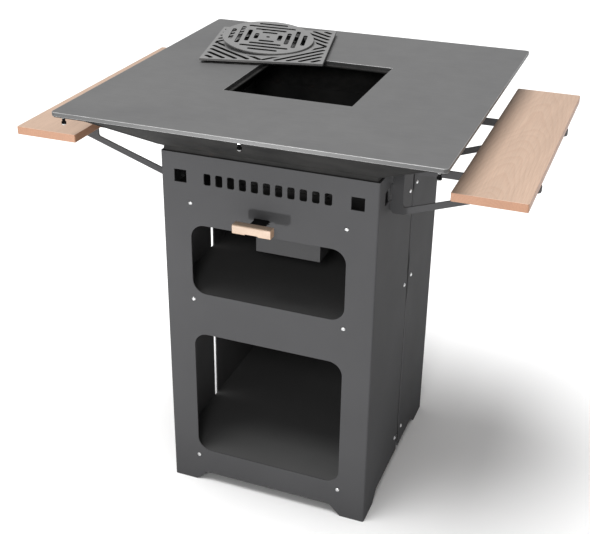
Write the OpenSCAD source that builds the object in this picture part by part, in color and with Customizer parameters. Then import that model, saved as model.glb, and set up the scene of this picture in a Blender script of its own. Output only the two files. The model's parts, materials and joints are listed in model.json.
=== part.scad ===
// Square charcoal fire table: a hotplate on a fire pan, over a folded sheet cabinet
// with two openings, an ash gate and a wooden board on each side.
// Millimetres. +X to the right, +Y to the back, +Z up.
// The origin is on the floor, under the middle of the cabinet.

/* [Cabinet] */
// Width of the cabinet over its side walls
cab_w = 448; // [420:1:560]
// Depth of the cabinet over its front and rear panels
cab_d = 468; // [440:1:570]
// Height of the two shells
cab_h = 787; // [760:1:960]
// Thickness of the shells' sheet
shell_t = 3; // [2:0.5:4]
// Outside radius of the shells' vertical bends
bend_r = 4; // [4:0.5:8]
// Width of the open seam between the shells on each side
seam_gap = 14; // [6:1:20]
// Distance of each side's seam from the middle of the cabinet
seam_offset = 16; // [0:1:30]

/* [Feet] */
// Height of the recess that leaves a foot at each corner
foot_h = 25; // [15:1:40]
// Half width of the recess at the floor
foot_recess = 170; // [140:1:180]

/* [Openings] */
// Half width of the two front openings
open_half_w = 164; // [120:1:170]
// Corner radius of the two front openings
open_r = 30; // [10:1:40]
// Lower edge of the lower opening
low_open_z = 86; // [82:1:110]
// Height of the lower opening
low_open_h = 300; // [200:1:330]
// Lower edge of the upper opening
high_open_z = 483; // [480:1:500]
// Height of the upper opening
high_open_h = 155; // [100:1:165]

/* [Air inlets] */
// Side of the square air inlets near the corners
inlet_side = 26.5; // [15:0.5:30]
// Height of the middle of all air inlets
inlet_z = 739; // [735:1:745]
// Distance of the square inlets from the middle of a wall
inlet_x = 183; // [160:1:185]
// Number of upright vent slots in the front
vent_count = 11; // [3:1:13]
// Distance between the vent slots
vent_pitch = 25; // [20:0.5:25]
// Width of a vent slot
vent_w = 15; // [6:0.5:16]
// Height of a vent slot
vent_h = 24; // [18:1:28]

/* [Shelves] */
// Thickness of the shelves' sheet
shelf_t = 2; // [1.5:0.5:3]
// Depth of the flange around each shelf
flange_h = 25; // [22:1:35]
// Height of the bottom shelf's top face
bottom_shelf_z = 82; // [70:1:85]
// Height of the middle shelf's top face
middle_shelf_z = 480; // [440:1:482]
// Height of the fire deck's top face
deck_z = 697; // [697:1:705]
// Distance of the shell screws below a shelf's top face
screw_drop = 13; // [10:0.5:15]
// Distance of the front and rear shell screws from the middle
screw_x = 163; // [120:1:180]
// Distance of the side screws from the seam's middle
screw_seam = 26; // [16:1:40]
// Diameter of the shell screws
screw_d = 5; // [4:0.5:6]
// Width of the ash hole in the fire deck
ash_w = 138; // [100:1:150]
// Depth of the ash hole in the fire deck
ash_d = 232; // [180:1:240]

/* [Ash chute and gate] */
// Thickness of the chute's walls
chute_t = 2; // [1.5:0.5:3]
// Height of the chute's lower end
chute_z = 542; // [520:1:580]
// How far the chute's top flange reaches past the middle of its screws
chute_flange = 9; // [8:1:15]
// Gap between the charcoal grate and the heads of the chute's screws
grate_screw_gap = 2; // [1:0.5:4]
// Thickness of the gate plate
gate_t = 3; // [2:0.5:4]
// Height of the middle of the pull strap
strap_z = 670; // [668:0.5:678]
// Sideways place of the pull strap
strap_x = -10; // [-20:1:20]
// Width of the pull strap
strap_w = 30; // [20:1:40]
// Thickness of the pull strap
strap_t = 4; // [3:0.5:5]
// How far the pull strap lies over the gate plate
strap_lap = 42; // [36:1:60]
// Width of the wooden grip
grip_w = 80; // [60:1:100]
// Depth of the wooden grip, front to back
grip_d = 19; // [16:1:30]
// Height of the wooden grip
grip_h = 19; // [16:1:24]
// Gap between the front panel and the grip with the gate shut
grip_reach = 34; // [20:1:80]
// Radius of the grip's edges
grip_r = 3; // [1:0.5:4]

/* [Charcoal grate] */
// Thickness of the charcoal grate
coal_grate_t = 8; // [6:1:12]
// How far the charcoal grate laps over the ash hole's edge
coal_grate_lap = 16; // [10:1:30]
// Number of slots in the charcoal grate
coal_slot_count = 11; // [5:1:15]
// Width of the slots in the charcoal grate
coal_slot_w = 12; // [6:0.5:14]

/* [Fire pan] */
// Thickness of the fire pan's sheet
pan_t = 2; // [1.5:0.5:3]
// Gap between the top of the shells and the lower edge of the sloping walls
pan_gap = 9; // [4:1:20]
// Depth of the pan's collar below the sloping walls
collar_h = 36; // [20:1:38]
// Width of the legs under the collar's corners
pan_leg_w = 20; // [15:1:22]
// Gap between the collar and the shells
collar_fit = 1; // [0.5:0.25:3]
// Half width of the pan's mouth, over the sloping walls
mouth_half = 353; // [320:1:353]
// Thickness of the pan's rim under the hotplate
rim_t = 3; // [2:0.5:4]
// Distance of the rim's outer edge inside the hotplate's edge
rim_inset = 4; // [2:1:10]

/* [Hotplate] */
// Side of the square hotplate
plate_side = 750; // [744:1:900]
// Thickness of the hotplate
plate_t = 8; // [6:1:12]
// Height of the hotplate's top face
plate_z = 890; // [880:1:1080]
// Radius of the hotplate's corners
plate_r = 8; // [4:1:20]
// Side of the square hole in the hotplate
hole_side = 266; // [240:1:300]
// Width of the ledge under the hole's edge
ledge_w = 8; // [5:1:12]
// Thickness of the ledge
ledge_t = 3; // [2:0.5:5]
// Width of the ledge's part under the hotplate
ledge_lap = 20; // [12:1:30]
// Diameter of the levelling screws
level_d = 6; // [5:0.5:6]
// Diameter of the levelling screws' domed heads
level_head_d = 9; // [8:0.5:10]
// Distance of the levelling screws inside the hotplate's edge
level_inset = 17; // [14:1:18]
// Height from the hotplate's underside down to the screws' domed heads
level_drop = 14; // [12:1:20]

/* [Grate] */
// Gap between the grate and the hole, all round
grate_fit = 1.5; // [1:0.25:3]
// Thickness of the grate's square frame
grate_t = 5; // [4:0.5:8]
// Height of the locating skirt under the grate
skirt_h = 5; // [3:0.5:8]
// Thickness of the locating skirt
skirt_t = 4; // [3:0.5:6]
// Gap between the locating skirt and the ledge
skirt_fit = 2; // [1:0.5:4]
// Width of all slots in the grate
slot_w = 9; // [5:0.5:10]
// Number of slots across each corner of the grate
corner_slots = 5; // [3:1:5]
// Distance between the slots across a corner
corner_pitch = 18.5; // [16:0.5:19]
// Sideways place of the grate on the hotplate
grate_x = -158; // [-170:1:-140]
// Front-to-back place of the grate on the hotplate
grate_y = 174; // [150:1:190]
// Turn of the grate on the hotplate
grate_yaw = 12.8; // [0:0.1:30]

/* [Grate disc] */
// Radius of the round disc
disc_r = 101; // [95:1:105]
// Thickness of the disc
disc_t = 3; // [3:0.5:6]
// How far the disc laps over the round hole in the frame
disc_lap = 18.5; // [16:0.5:25]
// Distance of the innermost square ring of slots from the disc's middle
ring_start = 26; // [22:0.5:28]
// Distance between the square rings of slots in the disc
ring_pitch = 18; // [16:0.5:18]
// Radial thickness of the disc's feet
disc_foot_t = 4; // [3:0.5:6]
// Angle from the foot on the frame to each of the other two feet
disc_foot_turn = 103; // [101:1:105]
// Gap between the disc's lowest edge and the frame under it
disc_edge_gap = 0.5; // [0.5:0.5:6]
// How far the disc has slid off the hole's middle
disc_slide = 12; // [9:0.5:14]
// Direction in which the disc has slid, from +X
disc_slide_dir = 140; // [0:1:359]

/* [Side boards] */
// Distance of the boards' inner edge from the middle
board_x = 368.5; // [300:0.5:400]
// Width of each board
board_w = 132.5; // [90:0.5:200]
// Length of each board, front to back
board_len = 620; // [400:1:700]
// Thickness of the boards
board_t = 16; // [14:1:30]
// Height of the boards' top face
board_z = 823; // [800:1:850]
// Radius of the boards' corners, seen from above
board_r = 3; // [2:1:20]

/* [Brackets] */
// Thickness of the brackets' plate
bracket_t = 4; // [3:0.5:6]
// Distance of the brackets from the middle, front and back
bracket_y = 158; // [120:1:170]
// Gap between the brackets' upright and the wall
bracket_gap = 3; // [0:0.5:6]
// Width of the brackets' upright
leg_w = 22; // [15:1:30]
// Height of a bracket's upright, down from the arm's top edge
leg_h = 102.5; // [80:0.5:103]
// Height of the arm
arm_h = 15.5; // [10:0.5:20]
// Gap between the arm's top edge and the board
arm_gap = 7; // [4:0.5:12]
// Height of the bracket's outer tip
tip_h = 18; // [14:1:25]
// Upright width of the sloping strut
strut_h = 16; // [10:0.5:20]
// Distance of the cut-out's outer end from the bracket's tip
cut_end = 92; // [40:1:120]
// Radius of the bracket's corners
bracket_r = 5; // [2:0.5:8]
// Length of the ears that carry the board
ear_len = 40; // [25:1:50]
// Width of the ears
ear_w = 24; // [16:1:30]
// Thickness of the ears
ear_t = 3; // [2:0.5:4]
// Diameter of the screws into the boards
wood_screw_d = 4; // [3:0.5:5]
// How far those screws go into the boards
wood_screw_grip = 11; // [8:1:12]
// Height of the tabs that hook the brackets into the wall
tab_h = 20; // [10:1:24]
// Gap between the brackets' upper tabs and the fire pan's collar above them
tab_gap = 3; // [1:1:8]
// How far the tabs reach inside the wall
tab_reach = 8; // [4:1:12]

/* [Clearances] */
// Clearance of screws in their holes, on the radius
hole_fit = 0.25; // [0.1:0.05:0.4]
// Clearance of nuts and tapped holes, on the radius
thread_fit = 0.02; // [0:0.01:0.05]
// Clearance between pieces that move on each other
slide_fit = 0.5; // [0.3:0.1:1]
// Clearance of the brackets' tabs in their slots
tab_fit = 0.3; // [0.2:0.1:0.6]

/* [Hidden] */
$fn = 48;
cut = 1;
in_w = cab_w - 2 * shell_t;
in_d = cab_d - 2 * shell_t;
SIDES = [-1, 1];

// Shells
side_square_y = -inlet_x;

// Screws and nuts
head_d = 1.8 * screw_d;
head_h = 0.55 * screw_d;
nut_d = 1.9 * screw_d;
nut_h = 0.8 * screw_d;
hole_r = screw_d / 2 + hole_fit;
shelf_tops = [bottom_shelf_z, middle_shelf_z, deck_z];

// Charcoal grate
coal_w = ash_w + 2 * coal_grate_lap;
coal_d = ash_d + 2 * coal_grate_lap;
coal_pitch = ash_d / coal_slot_count;

// Chute, gate and grip
chute_w = ash_w + 2 * chute_t;
chute_d = ash_d + 2 * chute_t;
chute_top = deck_z - shelf_t;
chute_screw_x = coal_w / 2 + grate_screw_gap + head_d / 2;
chute_screw_y = coal_d / 2 + grate_screw_gap + head_d / 2;
flange_x = chute_screw_x + chute_flange;
flange_y = chute_screw_y + chute_flange;
strap_bottom = strap_z - strap_t / 2;
strap_top = strap_z + strap_t / 2;
gate_bottom = strap_bottom - gate_t;
gate_w = ash_w - 2 * slide_fit;
gate_d = ash_d - 2 * slide_fit;
rail_w = 8;
rail_h = 5;
rail_end_gap = 2;
rivet_head_h = 2;
rivet_head_d = 9;
rivet_d = 5;
rivet_inset = 9;
gate_slot_h_below = rivet_head_h + 1.5;
gate_slot_h_above = rivet_head_h + 1;
strap_back = -gate_d / 2 + strap_lap;
strap_slot_w = strap_w + 4;
strap_slot_h = strap_t + 4;
grip_back = -cab_d / 2 - grip_reach;
strap_in_grip = 14;
grip_notch_w = 26;
grip_notch_h = 3;
grip_screw_x = 8;
grip_screw_d = 4;
grip_screw_head_h = 2;
pocket_fit = 0.2;

// Fire pan and hotplate
plate_bottom = plate_z - plate_t;
rim_bottom = plate_bottom - rim_t;
pan_low = cab_h + pan_gap;
pan_w = in_w - 2 * collar_fit;
pan_d = in_d - 2 * collar_fit;
collar_bottom = pan_low - collar_h;
slope_t = pan_t * norm([1, (mouth_half - pan_w / 2) / (rim_bottom - pan_low)]);
rim_half = plate_side / 2 - rim_inset;
level_xy = plate_side / 2 - level_inset;
level_spots = [for (x = [-1, 0, 1], y = [-1, 0, 1]) if (x != 0 || y != 0) [x * level_xy, y * level_xy]];
level_bite = plate_t - 3;
level_head_h = 7;
level_nut_h = 4;
ledge_in = hole_side - 2 * ledge_w;
ledge_out = hole_side + 2 * ledge_lap;

// Grate and disc
grate_side = hole_side - 2 * grate_fit;
skirt_side = ledge_in - 2 * skirt_fit;
grate_bottom = plate_z + skirt_h + 0.3;
grate_top = grate_bottom + grate_t;
round_r = disc_r - disc_lap;
foot_out = round_r - slide_fit;
foot_in = foot_out - disc_foot_t;
foot_w = 14;
disc_gap = 0.3;
foot_low = foot_w / 2 * sin(disc_foot_turn) - foot_out * cos(disc_foot_turn);
disc_tilt = asin((grate_top - plate_z) / (foot_in + foot_low));
disc_edge_rise = grate_top + disc_edge_gap - plate_z - disc_gap;
disc_foot_h = (disc_edge_rise + (disc_r - foot_low) * sin(disc_tilt)) / cos(disc_tilt);
disc_rim = 10.5;
ring_count = 1 + floor((disc_r - disc_rim - slot_w / 2 - ring_start) / ring_pitch);
centre_hole_d = 8;
seat_edge = 0.5;
seat_r = disc_r + seat_edge;
corner_start = seat_r + seat_edge + slot_w / 2 - corner_pitch;
grate_rim = 8;

// Boards and brackets
board_bottom = board_z - board_t;
wall_x = cab_w / 2;
leg_x = wall_x + bracket_gap;
arm_top = board_bottom - arm_gap;
arm_bottom = arm_top - arm_h;
leg_bottom = arm_top - leg_h;
tip_x = board_x + board_w - 1;
strut_slope = (arm_top - tip_h - leg_bottom) / (tip_x - leg_x - leg_w);
pad_in = board_x + 6;
pad_out = tip_x - 6;
ear_mids = [pad_in + ear_len / 2, pad_out - ear_len / 2];
ear_screw_in = ear_w / 2 + 2;
wood_head_d = 8;
wood_head_h = 2.2;
tab_mids = [collar_bottom - tab_gap - tab_h / 2, leg_bottom + 6 + tab_h / 2];

// ---- Shared shapes ----

// Rectangle with round corners, centred
module rounded_rect(w, d, r) {
    square([w - 2 * r, d], center = true);
    square([w, d - 2 * r], center = true);
    for (x = SIDES, y = SIDES) translate([x * (w / 2 - r), y * (d / 2 - r)]) circle(r);
}

// Slot with round ends along X, centred
module slot_2d(len, w) {
    square([len - w, w], center = true);
    for (x = SIDES) translate([x * (len - w) / 2, 0]) circle(w / 2);
}

// Screw with a domed head at the origin and its shank along -Z
module dome_screw(d, len, top_d, top_h) {
    dome_r = (top_d * top_d / 4 + top_h * top_h) / (2 * top_h);
    translate([0, 0, -len]) cylinder(d = d, h = len);
    intersection() {
        translate([0, 0, top_h - dome_r]) sphere(dome_r);
        cylinder(d = top_d, h = top_h);
    }
}

// Hexagon nut standing on the origin
module hex_nut(d, across, h) {
    difference() {
        cylinder(d = across, h = h, $fn = 6);
        translate([0, 0, -cut]) cylinder(r = d / 2 + thread_fit, h = h + 2 * cut);
    }
}

// ---- Shells ----

// Puts children in a wall: X along the wall, Y up, and through the sheet along Z
module on_front(y) translate([0, y, 0]) rotate([90, 0, 0]) children();
module on_side(x) translate([x, 0, 0]) rotate([90, 0, 90]) children();

// Through-cutter in the front or rear panel
module cut_front() on_front(-cab_d / 2) translate([0, 0, -2 * bend_r]) linear_extrude(3 * bend_r) children();
// Through-cutter in the side wall on the given side
module cut_side(side)
    on_side(side * cab_w / 2) translate([0, 0, -2 * bend_r]) linear_extrude(4 * bend_r) children();

// Recess under a wall that leaves the feet at the corners
module foot_cut() {
    polygon([[-foot_recess, -cut], [-foot_recess, 0], [-foot_recess + foot_h, foot_h],
             [foot_recess - foot_h, foot_h], [foot_recess, 0], [foot_recess, -cut]]);
}

// One folded U-shaped sheet with its panel to the front, without its front openings.
// Its left wall is shorter than its right wall, so that two alike shells
// leave one seam in front of the middle and one behind it.
module folded_shell() {
    difference() {
        linear_extrude(cab_h) intersection() {
            difference() {
                rounded_rect(cab_w, cab_d, bend_r);
                rounded_rect(in_w, in_d, bend_r - shell_t + 0.5);
            }
            union() {
                translate([-cab_w, -cab_d]) square([cab_w, cab_d - seam_offset - seam_gap / 2]);
                translate([0, -cab_d]) square([cab_w, cab_d + seam_offset - seam_gap / 2]);
            }
        }
        cut_front() foot_cut();
        cut_front() square_inlets();
        cut_front() shelf_screw_holes();
        for (side = SIDES) {
            cut_side(side) foot_cut();
            cut_side(side) translate([side_square_y, inlet_z]) square(inlet_side, center = true);
            cut_side(side) side_screw_holes(side);
            cut_side(side) tab_slots();
        }
    }
}

module square_inlets() {
    for (x = SIDES) translate([x * inlet_x, inlet_z]) square(inlet_side, center = true);
}

module shelf_screw_holes() {
    for (x = SIDES, top = shelf_tops) translate([x * screw_x, top - screw_drop]) circle(hole_r);
}

// Side screw holes of a wall, both sides of its seam
module side_screw_holes(side) {
    for (y = SIDES, top = shelf_tops)
        translate([side * seam_offset + y * screw_seam, top - screw_drop]) circle(hole_r);
}

module tab_slots() {
    for (y = SIDES, z = tab_mids)
        translate([y * bracket_y, z]) square([bracket_t + 2 * tab_fit, tab_h + 2 * tab_fit], center = true);
}

module front_opening(z, h) {
    translate([0, z + h / 2]) rounded_rect(2 * open_half_w, h, open_r);
}

module vent_row() {
    for (i = [0 : vent_count - 1])
        translate([(i - (vent_count - 1) / 2) * vent_pitch, inlet_z]) rounded_rect(vent_w, vent_h, vent_w / 4);
}

module front_shell() {
    color("#55565a") difference() {
        folded_shell();
        cut_front() front_opening(low_open_z, low_open_h);
        cut_front() front_opening(high_open_z, high_open_h);
        cut_front() vent_row();
        cut_front() translate([strap_x, strap_z]) rounded_rect(strap_slot_w, strap_slot_h, strap_slot_h / 4);
    }
}

module rear_shell() color("#4a4b4f") rotate([0, 0, 180]) folded_shell();

// ---- Shelves ----

// Folded tray with its flange down, pierced for the shell screws
module tray(top) {
    translate([0, 0, top]) difference() {
        translate([0, 0, -flange_h]) linear_extrude(flange_h) rounded_rect(in_w, in_d, bend_r);
        translate([0, 0, -flange_h - cut])
            linear_extrude(flange_h + cut - shelf_t)
                rounded_rect(in_w - 2 * shelf_t, in_d - 2 * shelf_t, bend_r / 2);
        for (x = SIDES) translate([x * screw_x, 0, -screw_drop])
            rotate([90, 0, 0]) cylinder(r = hole_r, h = cab_d, center = true);
        for (side = SIDES, y = SIDES)
            translate([side * in_w / 2, side * seam_offset + y * screw_seam, -screw_drop])
                rotate([0, 90, 0]) cylinder(r = hole_r, h = 4 * shelf_t, center = true);
    }
}

module bottom_shelf() color("#3e3f42") tray(bottom_shelf_z);

module middle_shelf() color("#3e3f42") tray(middle_shelf_z);

module fire_deck() {
    notch_top = strap_z + strap_slot_h / 2 + 1;
    color("#38393b") difference() {
        tray(deck_z);
        translate([0, 0, deck_z]) cube([ash_w, ash_d, 4 * shelf_t], center = true);
        translate([strap_x - strap_slot_w / 2, -cab_d / 2, deck_z - flange_h - cut])
            cube([strap_slot_w, 4 * shell_t, notch_top - deck_z + flange_h + cut]);
        for (x = SIDES, y = SIDES) translate([x * chute_screw_x, y * chute_screw_y, deck_z - 2 * shelf_t])
            cylinder(r = hole_r, h = 4 * shelf_t);
    }
}

// Length of a shell screw's shank: sheet, flange and nut, and a little more
module shell_screw() dome_screw(screw_d, shell_t + shelf_t + nut_h + 2, head_d, head_h);

module panel_screws() {
    for (x = SIDES, top = shelf_tops)
        translate([x * screw_x, -cab_d / 2, top - screw_drop]) rotate([90, 0, 0]) shell_screw();
}

module wall_screws(side) {
    for (y = SIDES, top = shelf_tops)
        translate([side * cab_w / 2, side * seam_offset + y * screw_seam, top - screw_drop])
            rotate([0, side * 90, 0]) shell_screw();
}

module front_screws() color("#d8dade") panel_screws();

module rear_screws() color("#d8dade") rotate([0, 0, 180]) panel_screws();

module left_screws() color("#d8dade") wall_screws(-1);

module right_screws() color("#d8dade") wall_screws(1);

module shelf_nuts() {
    color("#b8babd") for (top = shelf_tops, side = SIDES, other = SIDES) {
        translate([other * screw_x, side * (in_d / 2 - shelf_t), top - screw_drop])
            rotate([side * 90, 0, 0]) hex_nut(screw_d, nut_d, nut_h);
        translate([side * (in_w / 2 - shelf_t), side * seam_offset + other * screw_seam, top - screw_drop])
            rotate([0, -side * 90, 0]) hex_nut(screw_d, nut_d, nut_h);
    }
}

// ---- Ash chute and gate ----

module ash_chute() {
    color("#5a5b5e") difference() {
        union() {
            translate([-chute_w / 2, -chute_d / 2, chute_z]) cube([chute_w, chute_d, chute_top - chute_z]);
            translate([-flange_x, -flange_y, chute_top - chute_t]) cube([2 * flange_x, 2 * flange_y, chute_t]);
        }
        translate([-ash_w / 2, -ash_d / 2, chute_z - cut]) cube([ash_w, ash_d, chute_top - chute_z + 2 * cut]);
        translate([-gate_w / 2 - slide_fit / 2, -chute_d / 2 - cut, gate_bottom - gate_slot_h_below])
            cube([gate_w + slide_fit, chute_t + 2 * cut,
                  gate_t + strap_t + gate_slot_h_below + gate_slot_h_above]);
        for (x = SIDES, y = SIDES) translate([x * chute_screw_x, y * chute_screw_y, chute_top - 2 * chute_t])
            cylinder(r = hole_r, h = 4 * chute_t);
    }
}

module gate_rail(side) {
    color("#5a5b5e")
        translate([side * (ash_w / 2 - rail_w / 2), 0, gate_bottom - slide_fit - rail_h / 2])
            cube([rail_w, ash_d - 2 * rail_end_gap, rail_h], center = true);
}

module left_gate_rail() gate_rail(-1);

module right_gate_rail() gate_rail(1);

module chute_screws() {
    color("#d8dade") for (x = SIDES, y = SIDES)
        translate([x * chute_screw_x, y * chute_screw_y, deck_z])
            dome_screw(screw_d, shelf_t + chute_t + nut_h + 1, head_d, head_h);
}

module chute_nuts() {
    color("#b8babd") for (x = SIDES, y = SIDES)
        translate([x * chute_screw_x, y * chute_screw_y, chute_top - chute_t - nut_h])
            hex_nut(screw_d, nut_d, nut_h);
}

// Rivet places along the strap's lap over the gate. The strap's pieces are drawn at X = 0 and moved to strap_x.
rivet_ys = [strap_back - rivet_inset, -gate_d / 2 + rivet_inset];

module rivet_holes() {
    for (y = rivet_ys) translate([0, y, gate_bottom - cut])
        cylinder(r = rivet_d / 2 + hole_fit, h = gate_t + strap_t + 2 * cut);
}

module gate_plate() {
    color("#4c4d50") difference() {
        translate([-gate_w / 2, -gate_d / 2, gate_bottom]) cube([gate_w, gate_d, gate_t]);
        translate([strap_x, 0, 0]) rivet_holes();
    }
}

module pull_strap() {
    strap_front = grip_back - strap_in_grip;
    color("#2f3032") translate([strap_x, 0, 0]) difference() {
        translate([-strap_w / 2, strap_front, strap_bottom]) cube([strap_w, strap_back - strap_front, strap_t]);
        rivet_holes();
        grip_screw_holes(hole_fit);
    }
}

module gate_rivets() {
    color("#9a9c9f") for (y = rivet_ys) translate([strap_x, y, gate_bottom]) {
        cylinder(d = rivet_d, h = gate_t + strap_t);
        translate([0, 0, -rivet_head_h]) cylinder(d = rivet_head_d, h = rivet_head_h);
        translate([0, 0, gate_t + strap_t]) cylinder(d = rivet_head_d, h = rivet_head_h);
    }
}

grip_bottom = strap_z - grip_h / 2;
grip_screw_y = grip_back - strap_in_grip / 2;

module grip_screw_holes(fit) {
    for (x = SIDES) translate([x * grip_screw_x, grip_screw_y, grip_bottom])
        cylinder(r = grip_screw_d / 2 + fit, h = grip_h - 4);
}

module pull_grip() {
    color("#e2bd94") translate([strap_x, 0, 0]) difference() {
        translate([0, grip_back - grip_d / 2, strap_z]) rotate([0, 90, 0])
            linear_extrude(grip_w, center = true) rounded_rect(grip_h, grip_d, grip_r);
        translate([-grip_notch_w / 2, grip_back - grip_d - cut, grip_bottom - cut])
            cube([grip_notch_w, grip_d + 2 * cut, grip_notch_h + cut]);
        translate([-strap_w / 2 - pocket_fit, grip_back - strap_in_grip - pocket_fit, strap_bottom - pocket_fit])
            cube([strap_w + 2 * pocket_fit, strap_in_grip + cut, strap_t + 2 * pocket_fit]);
        grip_screw_holes(thread_fit);
    }
}

module grip_screws() {
    color("#b8babd") for (x = SIDES)
        translate([strap_x + x * grip_screw_x, grip_screw_y, grip_bottom + grip_notch_h]) rotate([180, 0, 0])
            dome_screw(grip_screw_d, grip_h - 4 - grip_notch_h - 1, 2 * grip_screw_d, grip_screw_head_h);
}

// ---- Fire ----

module charcoal_grate() {
    color("#2c2c2e") translate([0, 0, deck_z]) difference() {
        linear_extrude(coal_grate_t) difference() {
            rounded_rect(coal_w, coal_d, coal_grate_lap / 3);
            for (i = [0 : coal_slot_count - 1])
                translate([0, (i - (coal_slot_count - 1) / 2) * coal_pitch]) slot_2d(ash_w - 4, coal_slot_w);
        }
    }
}

// Collar that drops into the shells, on a leg at each corner
module pan_collar() {
    color("#333436") difference() {
        translate([0, 0, deck_z]) linear_extrude(pan_low - deck_z) difference() {
            rounded_rect(pan_w, pan_d, bend_r);
            rounded_rect(pan_w - 2 * pan_t, pan_d - 2 * pan_t, bend_r / 2);
        }
        leg_cut(pan_w - 2 * pan_leg_w, pan_d + 2 * cut);
        leg_cut(pan_w + 2 * cut, pan_d - 2 * pan_leg_w);
    }
}

// Cutter that opens the walls between the pan's corner legs
module leg_cut(w, d) {
    translate([-w / 2, -d / 2, deck_z - cut]) cube([w, d, collar_bottom - deck_z + cut]);
}

// Sloping wall on the +X side, a sheet with mitred ends from the collar to the rim.
// At its foot it stands near from the middle and is half long to each side.
module slope_wall(near, half) {
    high = mouth_half;
    color("#333436") polyhedron(
        points = [[near - slope_t, slope_t - half, pan_low], [near, -half, pan_low],
                  [near, half, pan_low], [near - slope_t, half - slope_t, pan_low],
                  [high - slope_t, slope_t - high, rim_bottom], [high, -high, rim_bottom],
                  [high, high, rim_bottom], [high - slope_t, high - slope_t, rim_bottom]],
        faces = [[0, 1, 2, 3], [7, 6, 5, 4], [0, 4, 5, 1], [1, 5, 6, 2], [2, 6, 7, 3], [3, 7, 4, 0]]);
}

module pan_front_wall() rotate([0, 0, -90]) slope_wall(pan_d / 2, pan_w / 2);

module pan_rear_wall() rotate([0, 0, 90]) slope_wall(pan_d / 2, pan_w / 2);

module pan_left_wall() rotate([0, 0, 180]) slope_wall(pan_w / 2, pan_d / 2);

module pan_right_wall() slope_wall(pan_w / 2, pan_d / 2);

// Flat frame that the hotplate's screws pass through
module pan_rim() {
    color("#333436") difference() {
        translate([0, 0, rim_bottom]) linear_extrude(rim_t) difference() {
            square(2 * rim_half, center = true);
            square(2 * (mouth_half - slope_t), center = true);
        }
        for (spot = level_spots) translate([spot[0], spot[1], rim_bottom - cut])
            cylinder(r = level_d / 2 + hole_fit, h = rim_t + 2 * cut);
    }
}

module hotplate() {
    color("#808183") difference() {
        translate([0, 0, plate_bottom]) linear_extrude(plate_t) difference() {
            rounded_rect(plate_side, plate_side, plate_r);
            square(hole_side, center = true);
        }
        for (spot = level_spots) translate([spot[0], spot[1], plate_bottom - cut])
            cylinder(r = level_d / 2 + thread_fit, h = level_bite + cut);
    }
}

module grate_ledge() {
    color("#6a6b6d") translate([0, 0, plate_bottom - ledge_t]) linear_extrude(ledge_t) difference() {
        square(ledge_out, center = true);
        square(ledge_in, center = true);
    }
}

module levelling_screws() {
    color("#c9cbce") for (spot = level_spots)
        translate([spot[0], spot[1], plate_bottom - level_drop]) rotate([180, 0, 0])
            dome_screw(level_d, level_drop + level_bite, level_head_d, level_head_h);
}

module levelling_nuts() {
    color("#b8babd") for (spot = level_spots)
        translate([spot[0], spot[1], rim_bottom - level_nut_h]) hex_nut(level_d, level_head_d, level_nut_h);
}

// ---- Grate ----

// Slots across one corner of the grate, each at a right angle to the diagonal.
// The disc's seat stays whole, so the innermost slot is only there at its ends.
module corner_slot_set() {
    reach = (grate_side / 2 - grate_rim) * sqrt(2);
    difference() {
        for (i = [0 : corner_slots - 1]) {
            out = corner_start + i * corner_pitch;
            if (reach - out > slot_w)
                rotate(45) translate([out, 0]) rotate(90) slot_2d(2 * (reach - out), slot_w);
        }
        circle(seat_r, $fn = 96);
    }
}

module grate_frame() {
    color("#4a4a4c") translate([grate_x, grate_y, 0]) rotate([0, 0, grate_yaw]) {
        translate([0, 0, grate_bottom]) linear_extrude(grate_t) difference() {
            square(grate_side, center = true);
            circle(round_r, $fn = 96);
            for (turn = [0 : 90 : 270]) rotate(turn) corner_slot_set();
        }
        translate([0, 0, grate_bottom - skirt_h]) linear_extrude(skirt_h) difference() {
            square(skirt_side, center = true);
            square(skirt_side - 2 * skirt_t, center = true);
        }
    }
}

// Slots of one square ring, long enough to leave a bridge at each corner
module slot_ring(reach) {
    rim_room = sqrt(pow(disc_r - disc_rim, 2) - pow(reach + slot_w / 2, 2));
    half = min(reach - slot_w, rim_room);
    for (turn = [0 : 90 : 270]) rotate(turn) translate([0, reach]) slot_2d(2 * half, slot_w);
}

module disc_feet() {
    for (turn = [0, disc_foot_turn, -disc_foot_turn]) rotate(turn) intersection() {
        translate([0, 0, -disc_foot_h]) difference() {
            cylinder(r = foot_out, h = disc_foot_h, $fn = 96);
            translate([0, 0, -cut]) cylinder(r = foot_in, h = disc_foot_h + 2 * cut, $fn = 96);
        }
        translate([0, -foot_w / 2, -disc_foot_h - cut]) cube([foot_out + cut, foot_w, disc_foot_h + 2 * cut]);
    }
}

// The disc lies where it has slid: one foot stands on the frame and two on the hotplate
module grate_disc() {
    color("#4a4a4c")
        translate([grate_x + disc_slide * cos(disc_slide_dir), grate_y + disc_slide * sin(disc_slide_dir),
                   grate_top + disc_edge_gap + disc_r * sin(disc_tilt)])
            rotate([0, 0, disc_slide_dir]) rotate([0, -disc_tilt, 0]) {
                linear_extrude(disc_t) difference() {
                    circle(disc_r, $fn = 96);
                    circle(d = centre_hole_d);
                    rotate(grate_yaw - disc_slide_dir)
                        for (i = [0 : ring_count - 1]) slot_ring(ring_start + i * ring_pitch);
                }
                disc_feet();
            }
}

// ---- Side boards and their brackets ----

// Bracket outline in the XZ plane, for the right side
module bracket_outline() {
    difference() {
        union() {
            hull() for (p = [[leg_x, arm_top], [tip_x, arm_top], [tip_x, arm_top - tip_h],
                             [leg_x + leg_w, leg_bottom], [leg_x, leg_bottom]])
                translate([max(leg_x + bracket_r, min(p[0], tip_x - bracket_r)),
                           p[1] + (p[1] > arm_top - 1 ? -bracket_r : bracket_r)]) circle(bracket_r);
            translate([pad_in, arm_top - bracket_r]) square([pad_out - pad_in, arm_gap - ear_t + bracket_r]);
        }
        bracket_window();
    }
}

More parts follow.
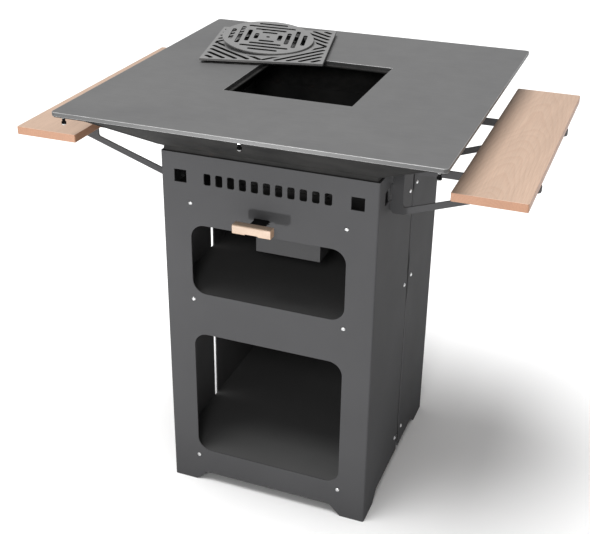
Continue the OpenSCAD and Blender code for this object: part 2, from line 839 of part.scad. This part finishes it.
// Cut-out between the upright, the arm and the strut
module bracket_window() {
    in_x = leg_x + leg_w + bracket_r;
    out_x = tip_x - cut_end - bracket_r;
    low_z = leg_bottom + strut_h + bracket_r;
    top_z = arm_bottom - bracket_r;
    hull() for (p = [[in_x, low_z], [in_x, top_z], [out_x, top_z],
                     [out_x, min(low_z + strut_slope * (out_x - in_x), top_z)]])
        translate(p) circle(bracket_r);
}

module side_bracket(side, end) {
    mirrored = side < 0 ? 1 : 0;
    color("#4b4c50") mirror([mirrored, 0, 0]) translate([0, end * bracket_y, 0]) {
        rotate([90, 0, 0]) linear_extrude(bracket_t, center = true) bracket_outline();
        for (z = tab_mids)
            translate([wall_x - shell_t - tab_reach, -bracket_t / 2, z - tab_h / 2])
                cube([shell_t + tab_reach + bracket_gap + bracket_r, bracket_t, tab_h]);
        for (x = ear_mids) difference() {
            translate([x - ear_len / 2, end > 0 ? bracket_t / 2 - ear_w : -bracket_t / 2, board_bottom - ear_t])
                cube([ear_len, ear_w, ear_t]);
            translate([x, -end * ear_screw_in, board_bottom - ear_t - cut])
                cylinder(r = wood_screw_d / 2 + hole_fit, h = ear_t + 2 * cut);
        }
    }
}

module front_left_bracket() side_bracket(-1, -1);

module front_right_bracket() side_bracket(1, -1);

module rear_left_bracket() side_bracket(-1, 1);

module rear_right_bracket() side_bracket(1, 1);

// Places of the screws into a board
module at_wood_screws(side) {
    for (end = SIDES, x = ear_mids) translate([side * x, end * (bracket_y - ear_screw_in), board_bottom]) children();
}

module side_board(side) {
    color("#dcb595") difference() {
        translate([side * (board_x + board_w / 2), 0, board_bottom])
            linear_extrude(board_t) rounded_rect(board_w, board_len, board_r);
        at_wood_screws(side) translate([0, 0, -cut])
            cylinder(r = wood_screw_d / 2 + thread_fit, h = wood_screw_grip + cut);
    }
}

module board_screws(side) {
    color("#c9cbce") at_wood_screws(side) translate([0, 0, -ear_t]) rotate([180, 0, 0])
        dome_screw(wood_screw_d, ear_t + wood_screw_grip, wood_head_d, wood_head_h);
}

module left_board() side_board(-1);

module right_board() side_board(1);

module left_board_screws() board_screws(-1);

module right_board_screws() board_screws(1);

front_shell();
rear_shell();
bottom_shelf();
middle_shelf();
fire_deck();
front_screws();
rear_screws();
left_screws();
right_screws();
shelf_nuts();
ash_chute();
left_gate_rail();
right_gate_rail();
chute_screws();
chute_nuts();
gate_plate();
pull_strap();
gate_rivets();
pull_grip();
grip_screws();
charcoal_grate();
pan_collar();
pan_front_wall();
pan_rear_wall();
pan_left_wall();
pan_right_wall();
pan_rim();
hotplate();
grate_ledge();
levelling_screws();
levelling_nuts();
grate_frame();
grate_disc();
front_left_bracket();
front_right_bracket();
rear_left_bracket();
rear_right_bracket();
left_board();
right_board();
left_board_screws();
right_board_screws();
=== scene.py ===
"""Looks of the charcoal fire table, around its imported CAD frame. Metres, +Z up, the front towards -Y."""
import json
import math

import bmesh
import bpy
from mathutils import Matrix, Vector


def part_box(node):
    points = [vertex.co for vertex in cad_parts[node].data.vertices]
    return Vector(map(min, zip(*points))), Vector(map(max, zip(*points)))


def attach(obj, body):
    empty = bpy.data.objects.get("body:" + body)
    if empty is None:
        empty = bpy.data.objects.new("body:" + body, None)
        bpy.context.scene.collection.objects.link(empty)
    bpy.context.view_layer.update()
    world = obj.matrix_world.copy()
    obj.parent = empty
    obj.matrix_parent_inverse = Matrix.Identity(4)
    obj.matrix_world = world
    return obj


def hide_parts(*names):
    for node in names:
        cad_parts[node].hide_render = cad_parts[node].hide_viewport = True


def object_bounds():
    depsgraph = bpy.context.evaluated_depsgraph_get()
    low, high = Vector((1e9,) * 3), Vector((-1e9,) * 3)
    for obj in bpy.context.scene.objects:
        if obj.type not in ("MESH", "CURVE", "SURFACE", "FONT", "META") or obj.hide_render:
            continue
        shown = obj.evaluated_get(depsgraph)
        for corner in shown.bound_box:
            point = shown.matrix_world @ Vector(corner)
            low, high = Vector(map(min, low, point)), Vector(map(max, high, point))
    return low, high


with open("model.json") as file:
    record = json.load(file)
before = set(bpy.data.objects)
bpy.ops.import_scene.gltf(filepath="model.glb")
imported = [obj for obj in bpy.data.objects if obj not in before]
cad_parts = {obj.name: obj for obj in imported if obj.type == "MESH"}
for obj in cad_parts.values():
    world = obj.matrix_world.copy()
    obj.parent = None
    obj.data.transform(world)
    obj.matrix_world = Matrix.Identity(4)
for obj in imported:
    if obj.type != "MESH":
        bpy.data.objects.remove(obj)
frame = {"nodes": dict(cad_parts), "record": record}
cad_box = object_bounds()
nodes = frame["nodes"]
body_of = {name: body for body, names in frame["record"]["behaviour"]["bodies"].items() for name in names}
slot_of = {part["node"]: part["material_slot"] for part in frame["record"]["subparts"]}

MM = 0.001

# ---- Camera and studio ----

CAMERA_PLACE = Vector((0.708, -1.949, 1.531))
CAMERA_AZIMUTH = math.radians(22.31)
CAMERA_ELEVATION = math.radians(26.64)
CAMERA_LENS = 64.5
CAMERA_SHIFT = (0.045, -0.021)
WORLD_STRENGTH = 0.35
FLOOR_REACH = 30.0
FLOOR_COLOUR = (0.97, 0.97, 0.97, 1.0)
FLOOR_ROUGHNESS = 0.9


def add_camera():
    data = bpy.data.cameras.new("camera")
    data.lens = CAMERA_LENS
    data.shift_x, data.shift_y = CAMERA_SHIFT
    level = math.cos(CAMERA_ELEVATION)
    back = Vector((math.sin(CAMERA_AZIMUTH) * level, -math.cos(CAMERA_AZIMUTH) * level,
                   math.sin(CAMERA_ELEVATION)))
    camera = bpy.data.objects.new("camera", data)
    camera.rotation_mode = "QUATERNION"
    camera.location = CAMERA_PLACE
    camera.rotation_quaternion = (-back).to_track_quat("-Z", "Y")
    bpy.context.scene.collection.objects.link(camera)
    bpy.context.scene.camera = camera


def add_light(name, kind, place, target, power, **settings):
    data = bpy.data.lights.new(name, kind)
    data.energy = power
    for key, value in settings.items():
        setattr(data, key, value)
    light = bpy.data.objects.new(name, data)
    light.location = place
    light.rotation_mode = "QUATERNION"
    light.rotation_quaternion = (Vector(target) - Vector(place)).to_track_quat("-Z", "Y")
    bpy.context.scene.collection.objects.link(light)


def add_studio():
    world = bpy.data.worlds.new("studio")
    world.use_nodes = True
    background = world.node_tree.nodes["Background"]
    background.inputs["Color"].default_value = (1.0, 1.0, 1.0, 1.0)
    background.inputs["Strength"].default_value = WORLD_STRENGTH
    bpy.context.scene.world = world
    bpy.context.scene.view_settings.view_transform = "Standard"
    front = cad_box[0].y
    add_light("front_key", "SPOT", place=(-0.69, front - 1.76, 0.16), target=(0.0, -0.23, 0.95), power=118.0,
              spot_size=math.radians(60), spot_blend=1.0, shadow_soft_size=0.07)
    add_light("high_fill", "AREA", place=(0.5, front - 2.1, 1.9), target=(0.0, -0.2, 0.5), power=16.0,
              shape="DISK", size=0.6)
    add_light("soft_top", "SUN", place=(-0.3, -0.2, 1.3), target=(0.0, 0.0, 0.0), power=3.5,
              angle=math.radians(40))
    floor_mesh = bpy.data.meshes.new("studio_floor")
    corners = [(x * FLOOR_REACH, y * FLOOR_REACH, 0.0) for x, y in ((-1, -1), (1, -1), (1, 1), (-1, 1))]
    floor_mesh.from_pydata(corners, [], [(0, 1, 2, 3)])
    floor = bpy.data.objects.new("studio_floor", floor_mesh)
    paint = bpy.data.materials.new("studio_floor")
    paint.use_nodes = True
    shader = paint.node_tree.nodes["Principled BSDF"]
    shader.inputs["Base Color"].default_value = FLOOR_COLOUR
    shader.inputs["Roughness"].default_value = FLOOR_ROUGHNESS
    floor_mesh.materials.append(paint)
    bpy.context.scene.collection.objects.link(floor)


# ---- Materials ----

MIX_COLOUR_INPUTS = (0, 6, 7)
MIX_COLOUR_OUTPUT = 2


class Finish:
    """A node material, with short calls for the nodes that the finishes share."""

    def __init__(self, name, metallic=0.0):
        self.material = bpy.data.materials.new(name)
        self.material.use_nodes = True
        self.tree = self.material.node_tree
        self.shader = self.tree.nodes["Principled BSDF"]
        self.shader.inputs["Metallic"].default_value = metallic
        coords = self.tree.nodes.new("ShaderNodeTexCoord")
        self.place = coords.outputs["Object"]
        self.normal = coords.outputs["Normal"]
        self.bumps = None

    def feed(self, socket, value):
        """Links another node's output to the socket, or sets it to a constant."""
        if hasattr(value, "is_output"):
            self.tree.links.new(value, socket)
        else:
            socket.default_value = value

    def node(self, kind, inputs=None, **settings):
        made = self.tree.nodes.new(kind)
        for key, value in settings.items():
            setattr(made, key, value)
        for key, value in (inputs or {}).items():
            self.feed(made.inputs[key], value)
        return made

    def stretched(self, scale, turn=(0.0, 0.0, 0.0), shift=(0.0, 0.0, 0.0)):
        """Object coordinates, scaled by a different factor along each axis."""
        inputs = {"Vector": self.place, "Scale": scale, "Rotation": turn, "Location": shift}
        return self.node("ShaderNodeMapping", inputs).outputs["Vector"]

    def noise(self, scale, detail=4.0, roughness=0.55, place=None, distortion=0.0):
        inputs = {"Vector": place or self.place, "Scale": scale, "Detail": detail,
                  "Roughness": roughness, "Distortion": distortion}
        return self.node("ShaderNodeTexNoise", inputs).outputs["Fac"]

    def ramp(self, value, stops):
        """Colour ramp through (position, colour) stops; a grey may be given as one number."""
        made = self.node("ShaderNodeValToRGB", {"Fac": value})
        band = made.color_ramp
        while len(band.elements) < len(stops):
            band.elements.new(1.0)
        for element, (position, colour) in zip(band.elements, stops):
            element.position = position
            element.color = (*((colour,) * 3 if isinstance(colour, (int, float)) else colour), 1.0)
        return made.outputs["Color"]

    def math(self, operation, first, second=0.0, third=0.0):
        made = self.node("ShaderNodeMath", operation=operation)
        for socket, value in zip(made.inputs, (first, second, third)):
            self.feed(socket, value)
        return made.outputs["Value"]

    def blend(self, kind, amount, first, second):
        """Mixes two colours; kind is a blend type such as MIX or MULTIPLY."""
        made = self.node("ShaderNodeMix", data_type="RGBA", blend_type=kind)
        for key, value in zip(MIX_COLOUR_INPUTS, (amount, first, second)):
            self.feed(made.inputs[key], value)
        return made.outputs[MIX_COLOUR_OUTPUT]

    def span(self, value, low, high):
        """Maps 0..1 to low..high."""
        made = self.node("ShaderNodeMapRange", {"Value": value, "To Min": low, "To Max": high})
        return made.outputs["Result"]

    def axis(self, vector, name):
        return self.node("ShaderNodeSeparateXYZ", {"Vector": vector}).outputs[name]

    def bump(self, height, depth):
        """Adds relief of that depth in metres on top of what is there."""
        inputs = {"Height": height, "Distance": depth, "Strength": 1.0}
        if self.bumps:
            inputs["Normal"] = self.bumps
        self.bumps = self.node("ShaderNodeBump", inputs).outputs["Normal"]

    def done(self, colour, roughness):
        self.tree.links.new(colour, self.shader.inputs["Base Color"])
        self.tree.links.new(roughness, self.shader.inputs["Roughness"])
        if self.bumps:
            self.tree.links.new(self.bumps, self.shader.inputs["Normal"])
        return self.material


def grey(value, tint=(1.0, 1.0, 1.0)):
    return tuple(value * part for part in tint)


INSIDE_GAIN = 8.0


def inside_light_mask(coat):
    """0 on faces that look away from the cabinet's middle axis, up to 1 on those that look at it: the mask
    for the painted light inside the cabinet.
    """
    level = {0: coat.place, 1: (1.0, 1.0, 0.0)}
    flat = coat.node("ShaderNodeVectorMath", level, operation="MULTIPLY").outputs["Vector"]
    turned = {0: flat, 1: coat.normal}
    facing = coat.node("ShaderNodeVectorMath", turned, operation="DOT_PRODUCT").outputs["Value"]
    return coat.ramp(coat.math("MULTIPLY_ADD", facing, -INSIDE_GAIN), [(0.0, 0.0), (0.6, 1.0)])


def powder_coat(name, tone, tint=(1.0, 1.0, 1.0), painted_inside_light=False):
    """Satin powder coat: fine orange peel, faint cloudy tone and dust specks. With the inside
    flag set, the faces inside the cabinet are painted lighter: painted light inside the cabinet."""
    coat = Finish(name)
    coat.shader.inputs["Specular IOR Level"].default_value = 0.02
    clouds = coat.noise(3.2, 3.0)
    colour = coat.ramp(clouds, [(0.3, grey(tone * 0.93, tint)), (0.7, grey(tone * 1.07, tint))])
    specks = coat.noise(1400.0, 2.0)
    speck_mask = coat.ramp(specks, [(0.66, 0.0), (0.78, 0.35)])
    colour = coat.blend("MIX", speck_mask, colour, (*grey(tone * 1.7, tint), 1.0))
    if painted_inside_light:
        # painted light: faces inside the cabinet are painted 1.2 to 1.6 times lighter.
        inside_light_gain = coat.blend("MIX", coat.noise(7.0, 5.0), (1.2, 1.19, 1.17, 1.0), (1.6, 1.58, 1.55, 1.0))
        colour = coat.blend("MULTIPLY", inside_light_mask(coat), colour, inside_light_gain)
    smudges = coat.noise(9.0, 6.0, 0.6)
    coat.bump(coat.noise(650.0, 2.0), 0.05 * MM)
    coat.bump(coat.noise(45.0, 2.0), 0.12 * MM)
    return coat.done(colour, coat.span(smudges, 0.53, 0.69))


def fire_black(name, tone):
    """Heat-proof matt black with soot, pale ash dust and a breath of rust."""
    coat = Finish(name)
    coat.shader.inputs["Specular IOR Level"].default_value = 0.1
    soot = coat.noise(14.0, 6.0, 0.6)
    colour = coat.ramp(soot, [(0.32, grey(tone * 0.7)), (0.62, grey(tone * 1.3, (1.0, 0.98, 0.95)))])
    rust = coat.ramp(coat.noise(38.0, 7.0, 0.65), [(0.62, 0.0), (0.74, 0.4)])
    colour = coat.blend("MIX", rust, colour, (0.055, 0.026, 0.014, 1.0))
    up = coat.ramp(coat.axis(coat.normal, "Z"), [(0.55, 0.0), (0.95, 0.2)])
    ash = coat.math("MULTIPLY", up, coat.ramp(coat.noise(60.0, 5.0), [(0.4, 0.0), (0.75, 1.0)]))
    colour = coat.blend("MIX", ash, colour, (0.11, 0.108, 0.104, 1.0))
    coat.bump(coat.noise(320.0, 4.0, 0.6), 0.15 * MM)
    return coat.done(colour, coat.span(soot, 0.62, 0.86))


def plate_steel(name, tone):
    """Seasoned hot-rolled steel: cloudy oil film, mill grain along X and fine scuffs on its flat
    faces, and upright faces painted darker as painted shade."""
    steel = Finish(name, metallic=0.35)
    clouds = steel.noise(4.5, 5.0, 0.6, distortion=0.6)
    colour = steel.ramp(clouds, [(0.28, grey(tone * 0.94, (1.0, 1.0, 1.01))), (0.72, grey(tone * 1.06))])
    mottle = steel.noise(26.0, 6.0, 0.62)
    colour = steel.blend("MULTIPLY", 1.0, colour, steel.ramp(mottle, [(0.25, 0.95), (0.75, 1.03)]))
    mill = steel.noise(1.0, 3.0, place=steel.stretched((18.0, 420.0, 420.0)))
    colour = steel.blend("MULTIPLY", 1.0, colour, steel.ramp(mill, [(0.3, 0.95), (0.7, 1.04)]))
    scuffs = steel.noise(1.0, 2.0, place=steel.stretched((60.0, 900.0, 60.0), turn=(0.0, 0.0, 0.5)))
    scuff_mask = steel.ramp(scuffs, [(0.68, 0.0), (0.74, 0.25)])
    colour = steel.blend("MIX", scuff_mask, colour, (*grey(tone * 1.5), 1.0))
    # painted shade: upright faces, the plate's edges and the hole's walls, are painted down to 0.4 times as
    # light.
    level = steel.math("ABSOLUTE", steel.axis(steel.normal, "Z"))
    colour = steel.blend("MULTIPLY", 1.0, colour, steel.ramp(level, [(0.2, 0.4), (0.6, 1.0)]))
    steel.bump(mill, 0.03 * MM)
    steel.bump(mottle, 0.05 * MM)
    return steel.done(colour, steel.span(clouds, 0.40, 0.52))


def edge_highlight_steel(name, tone):
    """Steel painted bright along an edge: a painted highlight on the arris, partly rubbed wear."""
    steel = Finish(name, metallic=0.5)
    wear_and_highlight = steel.noise(55.0, 4.0)
    colour = steel.ramp(wear_and_highlight, [(0.3, grey(tone * 0.75)), (0.7, grey(tone * 1.15))])
    return steel.done(colour, steel.span(wear_and_highlight, 0.35, 0.5))


def cast_iron(name, tone):
    """Sand-cast iron: pebbled skin, pits, and upward faces a little lighter."""
    iron = Finish(name, metallic=0.25)
    skin = iron.noise(420.0, 5.0, 0.62)
    grains = iron.node("ShaderNodeTexVoronoi", {"Vector": iron.place, "Scale": 900.0}).outputs["Distance"]
    clouds = iron.noise(22.0, 5.0)
    colour = iron.ramp(clouds, [(0.3, grey(tone * 0.8)), (0.7, grey(tone * 1.15, (1.02, 1.0, 0.98)))])
    # upward faces are made up to 1.6 times lighter.
    upward_lighter = iron.ramp(iron.axis(iron.normal, "Z"), [(0.7, 0.0), (0.97, 0.6)])
    colour = iron.blend("MIX", upward_lighter, colour, (*grey(tone * 1.6), 1.0))
    rust = iron.ramp(iron.noise(70.0, 8.0, 0.7), [(0.66, 0.0), (0.76, 0.3)])
    colour = iron.blend("MIX", rust, colour, (0.10, 0.055, 0.035, 1.0))
    iron.bump(skin, 0.35 * MM)
    iron.bump(grains, 0.18 * MM)
    return iron.done(colour, iron.span(skin, 0.48, 0.7))


def zinc(name, tone):
    """Bright zinc plating with faint turning marks and dull patches."""
    plating = Finish(name, metallic=1.0)
    patches = plating.noise(260.0, 3.0)
    colour = plating.ramp(patches, [(0.3, grey(tone * 0.9, (0.98, 0.99, 1.0))), (0.7, grey(tone * 1.1))])
    plating.bump(plating.noise(2200.0, 2.0), 0.01 * MM)
    return plating.done(colour, plating.span(patches, 0.22, 0.38))


RING_LEAN = 0.10
RING_WARP = 0.09
RING_WOBBLE = 1.3


def timber(name, pale, dark, ends, heart, ring_step, cut_axes):
    """Plain-sawn hardwood: a board cut from round growth rings about an axis that leans a little
    against the board's length, so that the face shows arches, the ends arcs and the edges stripes.
    heart is where the rings' axis passes, and ring_step a year's growth. The first of cut_axes is
    the length. Faces that look along any of cut_axes are toned by ends."""
    wood = Finish(name)
    along = {"X": (0.0, 0.0, math.radians(90)), "Y": (0.0, 0.0, 0.0)}[cut_axes[0]]
    warp = wood.noise(3.5, 3.0, place=wood.stretched((1.0, 0.35, 1.0), turn=along))
    log = wood.stretched((1.0, 1.0, 1.0), turn=along, shift=heart)
    across, length, depth = (wood.axis(log, key) for key in "XYZ")
    depth = wood.math("ADD", depth, wood.math("MULTIPLY", length, RING_LEAN))
    depth = wood.math("ADD", depth, wood.math("MULTIPLY", wood.math("SUBTRACT", warp, 0.5), RING_WARP))
    radius = wood.math("SQRT", wood.math("ADD", wood.math("MULTIPLY", across, across),
                                         wood.math("MULTIPLY", depth, depth)))
    wobble = wood.noise(1.0, 4.0, place=wood.stretched((22.0, 3.0, 22.0), turn=along))
    rings = wood.math("ADD", wood.math("DIVIDE", radius, ring_step),
                      wood.math("MULTIPLY", wobble, RING_WOBBLE))
    year = wood.math("FRACT", rings)
    late = wood.ramp(year, [(0.0, 0.0), (0.5, 0.25), (0.84, 0.7), (1.0, 0.0)])
    tone = wood.ramp(wood.noise(1.0, 3.0, place=wood.stretched((16.0, 1.6, 16.0), turn=along)),
                     [(0.3, grey(0.93)), (0.7, grey(1.05))])
    colour = wood.blend("MIX", late, (*pale, 1.0), (*dark, 1.0))
    colour = wood.blend("MULTIPLY", 1.0, colour, tone)
    fibre = wood.noise(1.0, 3.0, 0.7, place=wood.stretched((620.0, 14.0, 620.0), turn=along))
    colour = wood.blend("MULTIPLY", 1.0, colour, wood.ramp(fibre, [(0.3, 0.87), (0.7, 1.06)]))
    pores = wood.ramp(wood.noise(1.0, 1.0, place=wood.stretched((1500.0, 55.0, 1500.0), turn=along)),
                      [(0.66, 0.0), (0.74, 0.5)])
    colour = wood.blend("MIX", pores, colour, (*(0.72 * part for part in dark), 1.0))
    facing = 0.0
    for axis in cut_axes:
        part = wood.axis(wood.normal, axis)
        facing = wood.math("MULTIPLY_ADD", part, part, facing)
    end_share = wood.ramp(facing, [(0.4, 0.0), (0.8, 1.0)])
    end_tone = wood.blend("MULTIPLY", 1.0, colour, (*ends, 1.0))
    colour = wood.blend("MIX", end_share, colour, end_tone)
    wood.bump(late, 0.04 * MM)
    wood.bump(fibre, 0.05 * MM)
    return wood.done(colour, wood.span(fibre, 0.36, 0.55))


# ---- Mesh work ----

WELD_DISTANCE = 0.002 * MM
FLAT = math.radians(0.6)
HARD = math.radians(50)
UPRIGHT = 0.6


def welded(node):
    """The node's mesh with its split vertices joined and its flat faces whole."""
    made = bmesh.new()
    made.from_mesh(nodes[node].data)
    bmesh.ops.remove_doubles(made, verts=made.verts[:], dist=WELD_DISTANCE)
    bmesh.ops.dissolve_limit(made, angle_limit=FLAT, verts=made.verts[:], edges=made.edges[:])
    return made


def add_piece(name, made, finish, body, slot, *replaced, second=None):
    """Turns a bmesh into a smooth-shaded piece that rides on a body. Faces with material
    index 1 take the second finish."""
    mesh = bpy.data.meshes.new(name)
    bmesh.ops.recalc_face_normals(made, faces=made.faces[:])
    made.to_mesh(mesh)
    made.free()
    mesh.materials.append(finish)
    if second:
        mesh.materials.append(second)
    mesh.shade_smooth()
    piece = bpy.data.objects.new(name, mesh)
    bpy.context.scene.collection.objects.link(piece)
    even = piece.modifiers.new("even_shading", "WEIGHTED_NORMAL")
    even.keep_sharp = True
    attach(piece, body)
    if replaced:
        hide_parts(*replaced)
    return piece


def is_cut_wall(face, made):
    """True for an upright face that looks at another part of the same piece."""
    if abs(face.normal.z) > UPRIGHT:
        return False
    centre = face.calc_center_median()
    return any((vert.co - centre).dot(face.normal) > MM for vert in made.verts)


def soften(node, width, steps, edge_highlight_finish=None, cut_wall_shade=None):
    """Replaces a node by the same shape with its hard edges rounded off. The rounded edges can take
    a painted highlight, and the walls of the cut-outs painted shade."""
    made = welded(node)
    hard = [edge for edge in made.edges if len(edge.link_faces) == 2 and edge.calc_face_angle() > HARD]
    # painted highlight: with an edge finish given, the bevel faces take it.
    bmesh.ops.bevel(made, geom=hard, offset=width, segments=steps, profile=0.5, affect="EDGES",
                    clamp_overlap=False, material=1 if edge_highlight_finish else -1)
    if cut_wall_shade:
        # painted shade: the cut-out walls take the second finish.
        for face in made.faces:
            face.material_index = int(is_cut_wall(face, made))
    slot = slot_of[node]
    add_piece(f"{node}_eased", made, finishes[slot], body_of[node], slot, node,
              second=edge_highlight_finish or cut_wall_shade)


def painted_shade_above(node, split, shade_finish):
    """Replaces a node by the same shape, whose faces above a height take another finish as painted shade."""
    made = welded(node)
    for face in made.faces:
        face.material_index = int(face.calc_center_median().z > split)
    slot = slot_of[node]
    add_piece(f"{node}_painted_shade_above", made, finishes[slot], body_of[node], slot, node, second=shade_finish)


def islands(node):
    """(lowest corner, highest corner) of each separate solid in a node."""
    made = welded(node)
    left, found = set(made.verts), []
    while left:
        group, todo = [], [left.pop()]
        while todo:
            vert = todo.pop()
            group.append(vert.co.copy())
            for edge in vert.link_edges:
                other = edge.other_vert(vert)
                if other in left:
                    left.remove(other)
                    todo.append(other)
        found.append(tuple(Vector(pick(co[i] for co in group) for i in range(3)) for pick in (min, max)))
    made.free()
    return sorted(found, key=lambda box: tuple(box[0]))


SEGMENTS = 24
HEX_TURN = math.radians(60)


def hexagon_share(angle):
    """Distance to a hexagon's outline at an angle, as a share of its corner radius."""
    return math.cos(HEX_TURN / 2) / math.cos((angle % HEX_TURN) - HEX_TURN / 2)


def add_rings(made, rings, place):
    """Skins a stack of rings, each (radius, height, is a hexagon), and closes both ends."""
    skinned = []
    for radius, height, hexagon in rings:
        ring = []
        for i in range(SEGMENTS):
            angle = 2 * math.pi * i / SEGMENTS
            reach = radius * (hexagon_share(angle) if hexagon else 1.0)
            corner = Vector((reach * math.cos(angle), reach * math.sin(angle), height))
            ring.append(made.verts.new(place @ corner))
        skinned.append(ring)
    for low, high in zip(skinned, skinned[1:]):
        for i in range(SEGMENTS):
            j = (i + 1) % SEGMENTS
            made.faces.new((low[i], low[j], high[j], high[i]))
    made.faces.new(reversed(skinned[0]))
    made.faces.new(skinned[-1])


HEAD_TO_SHANK = 1.8
SOCKET_SHARE = 0.40
DOME_SHARES = (1.0, 0.93, 0.84, 0.73, 0.6, 0.5)


def socket_screws(node, axis, head_base):
    """Replaces a node of screws by button heads with hexagon sockets. The heads point along axis,
    and head_base is their underside's place along it."""
    direction = Vector(axis)
    along = max(range(3), key=lambda i: abs(direction[i]))
    sign = direction[along]
    turn = direction.to_track_quat("Z", "Y").to_matrix().to_4x4()
    made = bmesh.new()
    for low, high in islands(node):
        centre = (low + high) / 2
        centre[along] = head_base
        top = high[along] if sign > 0 else -low[along]
        bottom = low[along] if sign > 0 else -high[along]
        head_h = top - sign * head_base
        length = sign * head_base - bottom
        across = (along + 1) % 3
        head_r = (high[across] - low[across]) / 2
        dome_r = (head_r ** 2 + head_h ** 2) / (2 * head_h)
        socket_r = SOCKET_SHARE * head_r
        shank_r = head_r / HEAD_TO_SHANK
        rings = [(shank_r * 0.85, -length, False), (shank_r, -length + shank_r * 0.15, False),
                 (shank_r, 0.0, False), (head_r * 0.97, 0.0, False)]
        for share in DOME_SHARES:
            ring_r = head_r * share
            rings.append((ring_r, math.sqrt(dome_r ** 2 - ring_r ** 2) - dome_r + head_h, False))
        rings += [(socket_r * 1.06, head_h * 0.90, True), (socket_r, head_h * 0.82, True),
                  (socket_r * 0.97, head_h * 0.15, True)]
        add_rings(made, rings, Matrix.Translation(centre) @ turn)
    slot = slot_of[node]
    add_piece(f"{node}_sockets", made, finishes[slot], body_of[node], slot, node)


BEAD_R = 1.6 * MM
BEAD_STEP = 1.1 * MM
RIPPLE_STEPS = 4
RIPPLE_SHARE = 0.13
BLUNT_END = 0.35
END_SLOPE = 12


def weld_beads(name, runs):
    """Rippled weld beads with tapered ends along straight runs, each (start, end)."""
    made = bmesh.new()
    for start, end in runs:
        start, end = Vector(start), Vector(end)
        run = end - start
        steps = int(run.length / BEAD_STEP)
        turn = run.to_track_quat("Z", "Y").to_matrix().to_4x4()
        rings = []
        for i in range(steps + 1):
            share = i / steps
            ease = min(1.0, END_SLOPE * share + BLUNT_END, END_SLOPE * (1 - share) + BLUNT_END)
            ripple = 1.0 + RIPPLE_SHARE * math.sin(2 * math.pi * i / RIPPLE_STEPS)
            rings.append((BEAD_R * ease * ripple, run.length * share, False))
        add_rings(made, rings, Matrix.Translation(start) @ turn)
    add_piece(name, made, finishes["firebox"], "root", "firebox")


# ---- The object ----

PALE_BOARD, DARK_BOARD = (0.52, 0.375, 0.285), (0.48, 0.33, 0.245)
PALE_GRIP, DARK_GRIP = (0.48, 0.355, 0.265), (0.42, 0.30, 0.21)

finishes = {
    # painted light: the shell's inside faces are painted lighter.
    "shell": powder_coat("charcoal_powder_coat", tone=0.070, tint=(1.0, 1.0, 1.03), painted_inside_light=True),
    # painted light: the shelves take a lighter copy of the charcoal coat, so that the inside of the cabinet
    # looks lit.
    "shelf": powder_coat("shelf_powder_coat_painted_light", tone=0.09),
    "firebox": fire_black("fire_black", tone=0.02),
    # painted light: the ash chute takes a lighter copy of the charcoal coat, so that the recessed chute
    # looks as lit as the front panel.
    "chute": powder_coat("chute_powder_coat_painted_light", tone=0.082, tint=(1.0, 1.0, 1.02)),
    "strap": powder_coat("strap_black", tone=0.016),
    "hotplate": plate_steel("seasoned_steel", tone=0.17),
    "cast": cast_iron("cast_iron", tone=0.18),
    "zinc": zinc("bright_zinc", tone=0.72),
    "board": timber("board_hardwood", PALE_BOARD, DARK_BOARD, ends=(0.72, 0.52, 0.40),
                    heart=(-0.43, 0.05, -0.76), ring_step=4.5 * MM, cut_axes="YX"),
    "grip": timber("grip_hardwood", PALE_GRIP, DARK_GRIP, ends=(0.92, 0.80, 0.70),
                   heart=(0.29, 0.02, -0.64), ring_step=3.5 * MM, cut_axes="X"),
}

# Nodes with eased edges, and the width of the easing in mm.
EASED = {
    "front_shell": 0.35, "rear_shell": 0.35, "ash_chute": 0.1, "gate_plate": 0.3, "pull_strap": 0.4,
    "pull_grip": 1.2, "charcoal_grate": 1.0, "pan_rim": 0.4, "hotplate": 0.8, "grate_ledge": 0.4,
    "grate_frame": 0.5, "grate_disc": 0.5,
    "front_left_bracket": 0.4, "front_right_bracket": 0.4,
    "rear_left_bracket": 0.4, "rear_right_bracket": 0.4,
    "left_board": 0.8, "right_board": 0.8,
}
# painted highlight, partly rubbed wear: the hotplate's rounded arrises take bright steel.
edge_highlight_and_wear = edge_highlight_steel("edge_highlight_and_wear", tone=0.36)
# painted shade: the walls of the grate's slots take near-black.
cast_shade = fire_black("cast_shade", tone=0.010)
EDGE_HIGHLIGHT = {"hotplate": edge_highlight_and_wear}
CUT_WALL_SHADE = {"grate_frame": cast_shade, "grate_disc": cast_shade}
LEVELLING_DOME_H = 2.8 * MM


def pan_weld_runs():
    """The corners where the pan's sloping walls meet, from the collar up to the rim."""
    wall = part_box("pan_right_wall")
    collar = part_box("pan_collar")
    low, high = wall[0].z, wall[1].z
    reach = wall[1].x - MM
    runs = []
    for x in (-1, 1):
        for y in (-1, 1):
            start = (x * collar[1].x, y * collar[1].y, low + MM)
            runs.append((start, (x * reach, y * reach, high - MM)))
    return runs


def build():
    for node, width in EASED.items():
        steps = 3 if node.endswith("board") or node == "pull_grip" else 2
        soften(node, width * MM, steps, EDGE_HIGHLIGHT.get(node), CUT_WALL_SHADE.get(node))
    front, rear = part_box("front_shell"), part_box("rear_shell")
    socket_screws("front_screws", (0, -1, 0), front[0].y)
    socket_screws("rear_screws", (0, 1, 0), rear[1].y)
    socket_screws("left_screws", (-1, 0, 0), front[0].x)
    socket_screws("right_screws", (1, 0, 0), front[1].x)
    socket_screws("chute_screws", (0, 0, 1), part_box("fire_deck")[1].z)
    # painted shade: the levelling screws' shanks above the domed heads are painted black, where they stand
    # in the plate's shadow.
    painted_shade_above("levelling_screws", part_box("levelling_screws")[0].z + LEVELLING_DOME_H, finishes["strap"])
    weld_beads("pan_welds", pan_weld_runs())
    for name, node in nodes.items():
        for material_slot in node.material_slots:
            material_slot.material = finishes[slot_of[name]]


add_camera()
add_studio()
build()
